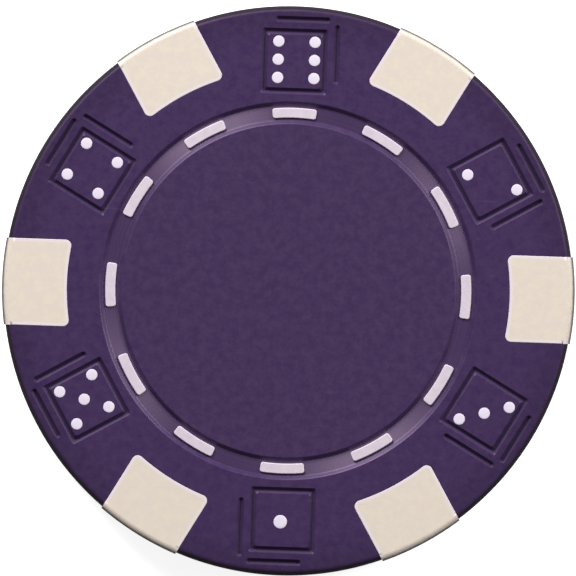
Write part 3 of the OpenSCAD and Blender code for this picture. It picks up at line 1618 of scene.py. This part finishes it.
@dataclass(frozen=True)
class PalePlastic:
    """The satin finish of the inserts, dashes and pips.

    Attributes:
        name: The material's name.
        base: Usual colour.
        warm: Colour of the blotches.
        border: Colour along an edge, where the mesh's edge value is 1.
        rim_r: Radius over the edge inserts, in metres.
        grime_band: How far inside that the painted shade round the rim starts and is full, in metres.
        roughness: Usual roughness.
    """

    name: str
    base: Colour
    warm: Colour
    border: Colour
    rim_r: float
    grime_band: tuple[float, float] = (0.00022, 0.00006)
    roughness: float = 0.4

    def make(self, effects: Effects) -> bpy.types.Material:
        """Make the material.

        Args:
            effects: The shared node groups.

        Returns:
            The material.
        """
        material, tree, shader, place = new_material(self.name)
        grain = use_group(tree, effects.grain, place, {"Pits": 0.7, "Waviness": 0.8})
        marks = use_group(tree, effects.handling, place, {"Amount": 0.8})
        grime = rim_mask(tree, effects, place, self.rim_r, self.grime_band)
        shade = tree.blend(grain.outputs["Blotch"], self.base, self.warm)
        shade = tree.blend(tree.attribute("edge"), shade, self.border)
        shade = stain(tree, shade, marks.outputs["Scratches"], 0.3, colour(150, 132, 132))
        # Painted shade: a dark grey line round the rim, where the rounded edge turns away from the lights.
        shade = stain(tree, shade, grime, 0.88, colour(44, 36, 42))
        tree.feed(shader.inputs["Base Color"], shade)
        rough = tree.math("MULTIPLY_ADD", grain.outputs["Blotch"], 0.08, self.roughness)
        rough = tree.math("MULTIPLY_ADD", grime, 0.3, rough)
        tree.feed(shader.inputs["Roughness"], rough)
        tree.feed(shader.inputs["Normal"], bump(tree, grain.outputs["Height"], 0.25, 0.00001))
        return material


@dataclass(frozen=True)
class PurpleBody:
    """The clay-filled purple plastic of the body.

    Attributes:
        band: Colour outside the ring channel.
        seat: Colour of the label seat inside it.
        shadow: Colour of the painted shade down in the grooves.
        rubbed: Colour of scratches and worn edges.
        grime: Colour of the painted shade line round the rim; the darker band inside it uses it too.
        rim_r: Radius of the body, in metres.
        channel_middle: Radius of the ring channel's middle, in metres.
        grime_band: How far inside the rim its painted shade starts and is full, in metres.
        darkening_band: How far inside the rim the faint darkening starts and is full, in metres.
        roughness: Usual roughness.
    """

    band: Colour
    seat: Colour
    shadow: Colour
    rubbed: Colour
    grime: Colour
    rim_r: float
    channel_middle: float
    grime_band: tuple[float, float] = (0.00036, 0.0002)
    darkening_band: tuple[float, float] = (0.0028, 0.0006)
    roughness: float = 0.38

    def make(self, effects: Effects) -> bpy.types.Material:
        """Make the material.

        Args:
            effects: The shared node groups.

        Returns:
            The material.
        """
        material, tree, shader, place = new_material("Purple moulded plastic")
        radius, recess = tree.axis_distance(place), tree.attribute("recess")
        in_seat = tree.span(radius, self.channel_middle + 0.0001, self.channel_middle - 0.0001)
        grain = use_group(tree, effects.grain, place, {"Pits": 1.0, "Waviness": 0.7})
        marks = use_group(tree, effects.handling, place, {"Amount": 1.0})
        worn = use_group(tree, effects.wear, place, {"Edge": tree.attribute("edge"), "Amount": 0.42})
        grime = rim_mask(tree, effects, place, self.rim_r, self.grime_band)
        rim_darkening = rim_mask(tree, effects, place, self.rim_r, self.darkening_band)
        rubs = tree.math("MAXIMUM", marks.outputs["Scratches"], marks.outputs["Specks"])
        shade = tree.blend(in_seat, self.band, self.seat)
        for mask, amount, tone in (
            (grain.outputs["Blotch"], 0.2, self.rubbed),
            # Painted shade: darker down in the grooves.
            (recess, 0.62, self.shadow),
            (worn.outputs["Wear"], 0.5, self.rubbed),
            (rubs, 0.25, self.rubbed),
            # The face turns a little darker towards the rim.
            (rim_darkening, 0.22, self.grime),
            # Painted shade: a dark line round the rim, where the rounded edge turns away from the lights.
            (grime, 0.9, self.grime),
        ):
            shade = stain(tree, shade, mask, amount, tone)
        tree.feed(shader.inputs["Base Color"], shade)
        rough = tree.math("MULTIPLY_ADD", grain.outputs["Blotch"], 0.06, self.roughness)
        for mask, amount in ((in_seat, 0.04), (grime, 0.4), (recess, 0.45)):
            rough = tree.math("MULTIPLY_ADD", mask, amount, rough)
        tree.feed(shader.inputs["Roughness"], rough)
        shader.inputs["Specular Tint"].default_value = GLOSS_TINT
        tree.feed(shader.inputs["Normal"], bump(tree, grain.outputs["Height"], 0.35, 0.00001))
        return material


@dataclass(frozen=True)
class TurnedChannel:
    """The ring channel's floor: the body's plastic, moulded against lathe lines round the axis.

    The lines spread a highlight along the radius, so it shows on the two sides that face a light.

    Attributes:
        base: Usual colour.
        crest_sheen: Painted sheen colour, laid lighter on the tops of the lines.
        roughness: Usual roughness.
        spread: How much further a highlight spreads along the radius than round the ring.
        across: Turn of the spread, in whole turns, from round the ring to along the radius.
        gloss_index: Refractive index, which is set for the strength of the highlight.
    """

    base: Colour
    crest_sheen: Colour
    roughness: float = 0.56
    spread: float = 0.9
    across: float = 0.25
    gloss_index: float = 1.72

    def make(self, effects: Effects) -> bpy.types.Material:
        """Make the material.

        Args:
            effects: The shared node groups.

        Returns:
            The material.
        """
        material, tree, shader, place = new_material("Turned purple channel")
        lines = use_group(tree, effects.lines, place, {"Lines per metre": 4200.0})
        grain = use_group(tree, effects.grain, place, {"Pits": 0.4, "Waviness": 0.5})
        # Painted sheen: the tops of the lathe lines are coloured lighter, as if they caught the light.
        sheen_on_crests = tree.span(lines.outputs["Height"], 0.35, 0.7)
        tree.feed(shader.inputs["Base Color"], tree.blend(sheen_on_crests, self.base, self.crest_sheen))
        rough = tree.math("MULTIPLY_ADD", grain.outputs["Blotch"], 0.06, self.roughness - 0.03)
        tree.feed(shader.inputs["Roughness"], rough)
        tree.feed(shader.inputs["Normal"], bump(tree, lines.outputs["Height"], 0.3, 0.00002))
        shader.inputs["IOR"].default_value = self.gloss_index
        shader.inputs["Specular IOR Level"].default_value = 1.0
        shader.inputs["Anisotropic"].default_value = self.spread
        shader.inputs["Anisotropic Rotation"].default_value = self.across
        shader.inputs["Specular Tint"].default_value = GLOSS_TINT
        return material


@dataclass(frozen=True)
class PunchedSteel:
    """The plain steel of the weight: a dull sheet surface with rolling lines.

    Attributes:
        dark: Colour of the blotches' low side.
        pale: Colour of their high side.
        roughness: Usual roughness.
    """

    dark: Colour = (0.5, 0.5, 0.51, 1.0)
    pale: Colour = (0.62, 0.61, 0.6, 1.0)
    roughness: float = 0.34

    def make(self, effects: Effects) -> bpy.types.Material:
        """Make the material.

        Args:
            effects: The shared node groups.

        Returns:
            The material.
        """
        material, tree, shader, place = new_material("Punched steel")
        lines = tree.noise(tree.stretched(place, (200.0, 6000.0, 200.0)), 1.0, 3.0)
        grain = use_group(tree, effects.grain, place, {"Pits": 0.5, "Waviness": 0.5})
        tree.feed(shader.inputs["Base Color"], tree.blend(grain.outputs["Blotch"], self.dark, self.pale))
        shader.inputs["Metallic"].default_value = 1.0
        tree.feed(shader.inputs["Roughness"], tree.math("MULTIPLY_ADD", lines, 0.2, self.roughness - 0.1))
        tree.feed(shader.inputs["Normal"], bump(tree, lines, 0.2, 0.00001))
        return material


# ---------------------------------------------------------------- studio


@dataclass
class Studio:
    """A plain pale floor, soft lights and a camera straight above.

    Attributes:
        target: Middle of the chip's upper face, in metres.
        distance: From the camera to the upper face, in metres.
        view_width: Width of the view at the upper face, in metres.
        roll: Turn of the camera about its own axis, in radians.
        slide: How far right and up the camera stands of the chip's axis, in metres.
        light_elevation: Height of both lights above the table, in degrees.
        light_distance: From the lights to the chip, in metres.
        light_size: Side of the square lights, in metres.
    """

    target: tuple[float, float, float]
    distance: float = 0.7
    view_width: float = 0.03931
    roll: float = math.radians(2.0)
    slide: tuple[float, float] = (-0.00002, 0.00019)
    light_elevation: float = 31.0
    light_distance: float = 0.5
    light_size: float = 0.24

    def build(self) -> None:
        """Make the camera, the lights, the floor and the surrounding light."""
        self.add_camera()
        self.add_light("key_light", azimuth=119, power=3.2)
        self.add_light("side_light", azimuth=30, power=1.8)
        self.add_floor()
        world = bpy.data.worlds.new("Studio")
        world.use_nodes = True
        back = world.node_tree.nodes["Background"]
        back.inputs["Color"].default_value = (0.95, 0.97, 1.0, 1.0)
        back.inputs["Strength"].default_value = 0.1
        bpy.context.scene.world = world
        bpy.context.scene.view_settings.view_transform = "Standard"

    def add_camera(self) -> None:
        """Make the camera: it looks straight down and frames view_width at the upper face."""
        data = bpy.data.cameras.new("camera")
        data.sensor_width = 36.0
        data.lens = data.sensor_width * self.distance / self.view_width
        data.clip_start, data.clip_end = 0.01, 20.0
        camera = bpy.data.objects.new("camera", data)
        turn = Matrix.Rotation(self.roll, 4, "Z")
        slide = turn @ Vector((*self.slide, self.distance))
        camera.matrix_world = Matrix.Translation(Vector(self.target) + slide) @ turn
        bpy.context.scene.collection.objects.link(camera)
        bpy.context.scene.camera = camera

    def add_light(self, name: str, azimuth: float, power: float) -> None:
        """Make a square soft light that faces the chip.

        Args:
            name: The light's name.
            azimuth: Direction it stands in, in degrees from +X.
            power: Its power, in watts.
        """
        data = bpy.data.lights.new(name, "AREA")
        data.size, data.energy = self.light_size, power
        light = bpy.data.objects.new(name, data)
        a, e = math.radians(azimuth), math.radians(self.light_elevation)
        place = Vector((math.cos(a) * math.cos(e), math.sin(a) * math.cos(e), math.sin(e)))
        place *= self.light_distance
        facing = place.to_track_quat("Z", "Y").to_matrix().to_4x4()
        light.matrix_world = Matrix.Translation(place) @ facing
        bpy.context.scene.collection.objects.link(light)

    def add_floor(self) -> None:
        """Make the floor: a wide pale disc just under the chip, lit from behind like a light table."""
        grid = revolve(np.linspace(0.0, 2500.0, 12)[::-1], np.full(12, -0.01), 96)
        shell = Shell()
        shell.add_grid(grid, True)
        floor = shell.build("floor")
        material, tree, shader, place = new_material("Pale table")
        tone = tree.noise(place, 40.0, 3.0)
        shade = tree.blend(tone, (0.86, 0.86, 0.86, 1.0), (0.9, 0.9, 0.9, 1.0))
        tree.feed(shader.inputs["Base Color"], shade)
        shader.inputs["Roughness"].default_value = 0.9
        seen = tree.node("ShaderNodeLightPath").outputs["Is Camera Ray"]
        glow = tree.blend(seen, (0.0, 0.0, 0.0, 1.0), (0.85, 0.85, 0.85, 1.0))
        tree.feed(shader.inputs["Emission Color"], glow)
        shader.inputs["Emission Strength"].default_value = 1.0
        floor.data.materials.append(material)


# ---------------------------------------------------------------- assembly


def install(piece: bpy.types.Object, finishes: list[bpy.types.Material], node: str) -> None:
    """Give a piece its finishes, and let it stand for its CAD node.

    Args:
        piece: The piece.
        finishes: Its finishes, in the order of its faces' material numbers.
        node: The CAD node that it replaces.
    """
    for finish in finishes:
        piece.data.materials.append(finish)
    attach(piece, "root")
    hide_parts(node)
    log.info("%s: %d faces, for %s", piece.name, len(piece.data.polygons), node)


def main() -> None:
    """Build the chip, piece by piece, and the studio round it."""
    logging.basicConfig(level=logging.INFO, format="%(message)s")
    sizes = ChipSizes.from_frame()
    log.info("body %.2f mm across, %.2f mm thick", 2 * sizes.body_r, sizes.thickness)
    pips = [
        Pip.from_node(f"die_{die.name.lower()}_pip_{number}")
        for die in Die
        for number in range(1, die.value + 1)
    ]
    die_two = pips[0].centre + pips[1].centre
    channel = RingChannel((sizes.dash_inner + sizes.dash_outer) / 2)
    body = ChipBody(
        sizes=sizes,
        channel=channel,
        art=DieArt(),
        pips=[(pip.centre, pip.radius) for pip in pips],
        die_radius=float(np.hypot(*die_two)) / 2,
    )
    effects = Effects.make()
    purple = PurpleBody(
        band=colour(57, 37, 79),
        seat=colour(57, 38, 78),
        # Painted shade colour for the grooves.
        shadow=colour(26, 12, 46),
        rubbed=colour(92, 76, 104),
        # Painted shade colour for the line round the rim, also used for the darker band inside it.
        grime=colour(12, 6, 16),
        rim_r=sizes.body_r * MM,
        channel_middle=channel.middle * MM,
    ).make(effects)
    # The second colour is the painted sheen on the tops of the lathe lines.
    turned = TurnedChannel(colour(52, 32, 72), colour(72, 52, 92)).make(effects)
    rim_r = sizes.insert_r * MM
    cream = PalePlastic(
        "Cream insert plastic", colour(223, 209, 199), colour(228, 216, 198), colour(230, 217, 219), rim_r
    ).make(effects)
    pearl = PalePlastic(
        "Pale dash plastic", colour(208, 193, 208), colour(220, 207, 215), colour(220, 207, 220), rim_r
    ).make(effects)
    white = PalePlastic(
        "White pip plastic", colour(228, 217, 234), colour(234, 224, 238), colour(234, 222, 240), rim_r
    ).make(effects)
    install(body.build(), [purple, turned], "chip_body")
    for number in range(1, sizes.inserts + 1):
        piece = EdgeInsert(sizes, number).build()
        install(piece, [cream], f"edge_insert_{number}")
    for side in Side:
        for number in range(1, sizes.dashes + 1):
            piece = RingDash(sizes, side, number).build()
            install(piece, [pearl], f"{side.value}_dash_{number}")
    for pip in pips:
        install(pip.build(), [white], pip.name)
    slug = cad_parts["weight_slug"]
    slug.data.materials.clear()
    slug.data.materials.append(PunchedSteel().make(effects))
    Studio(target=(0.0, 0.0, sizes.thickness * MM)).build()


if __name__ == "__main__":
    main()
